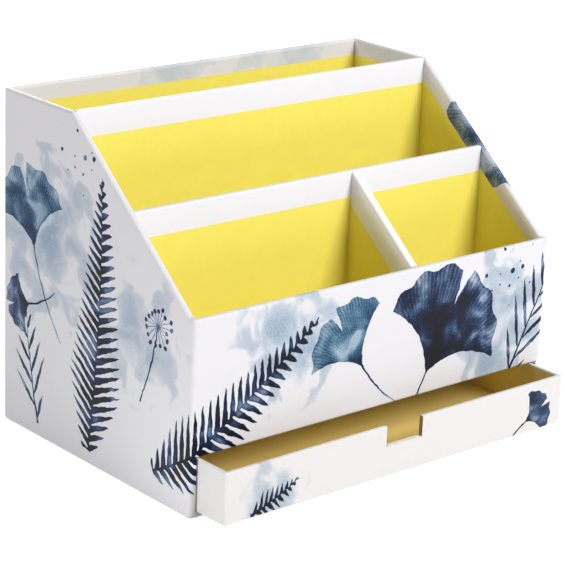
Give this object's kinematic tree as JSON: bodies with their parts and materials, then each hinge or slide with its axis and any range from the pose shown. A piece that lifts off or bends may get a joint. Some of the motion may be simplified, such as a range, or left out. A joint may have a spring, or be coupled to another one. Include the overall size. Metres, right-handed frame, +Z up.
{
  "type": "letter holder with drawer",
  "caption": "Paper-covered board letter holder with stepped open pockets behind a sloping rim, and a shallow drawer with a finger notch below them.",
  "frame": {"origin": "middle of the case's base, in the plane that it stands on", "axes": "+Z up, +X along the width to the right as seen from the front, -Y towards the front, where the drawer comes out"},
  "size_m": [0.25, 0.189, 0.187],
  "materials": {
    "greyboard": "raw, matt",
    "printed_art_paper": "white art paper with blue print, satin matt film",
    "white_edging_paper": "white, matt",
    "yellow_liner_paper": "yellow, uncoated, matt",
    "golden_liner_paper": "golden yellow, uncoated, matt",
    "plain_base_paper": "white, uncoated, matt"
  },
  "bodies": {
    "case": {"left_side_board": "greyboard", "right_side_board": "greyboard", "back_board": "greyboard", "front_board": "greyboard", "base_board": "greyboard", "deck_board": "greyboard", "tall_divider_board": "greyboard", "middle_divider_board": "greyboard", "cross_divider_board": "greyboard", "left_side_wrap": "printed_art_paper", "right_side_wrap": "printed_art_paper", "back_wrap": "printed_art_paper", "front_wrap": "printed_art_paper", "tall_divider_edging": "white_edging_paper", "middle_divider_edging": "white_edging_paper", "cross_divider_edging": "white_edging_paper", "base_sheet": "plain_base_paper", "base_edge_strip": "plain_base_paper", "rear_pocket_liner": "yellow_liner_paper", "middle_pocket_liner": "yellow_liner_paper", "left_tray_liner": "yellow_liner_paper", "right_tray_liner": "yellow_liner_paper", "bay_liner": "plain_base_paper"},
    "drawer": {"drawer_left_board": "greyboard", "drawer_right_board": "greyboard", "drawer_front_board": "greyboard", "drawer_back_board": "greyboard", "drawer_bottom_board": "greyboard", "drawer_wrap": "printed_art_paper", "drawer_liner": "golden_liner_paper", "drawer_base_sheet": "plain_base_paper"}
  },
  "joints": [
    {"name": "drawer_slide", "type": "slide", "parent": "case", "child": "drawer", "axis": [0, -1, 0], "range_m": [-0.022, 0.103]}
  ]
}
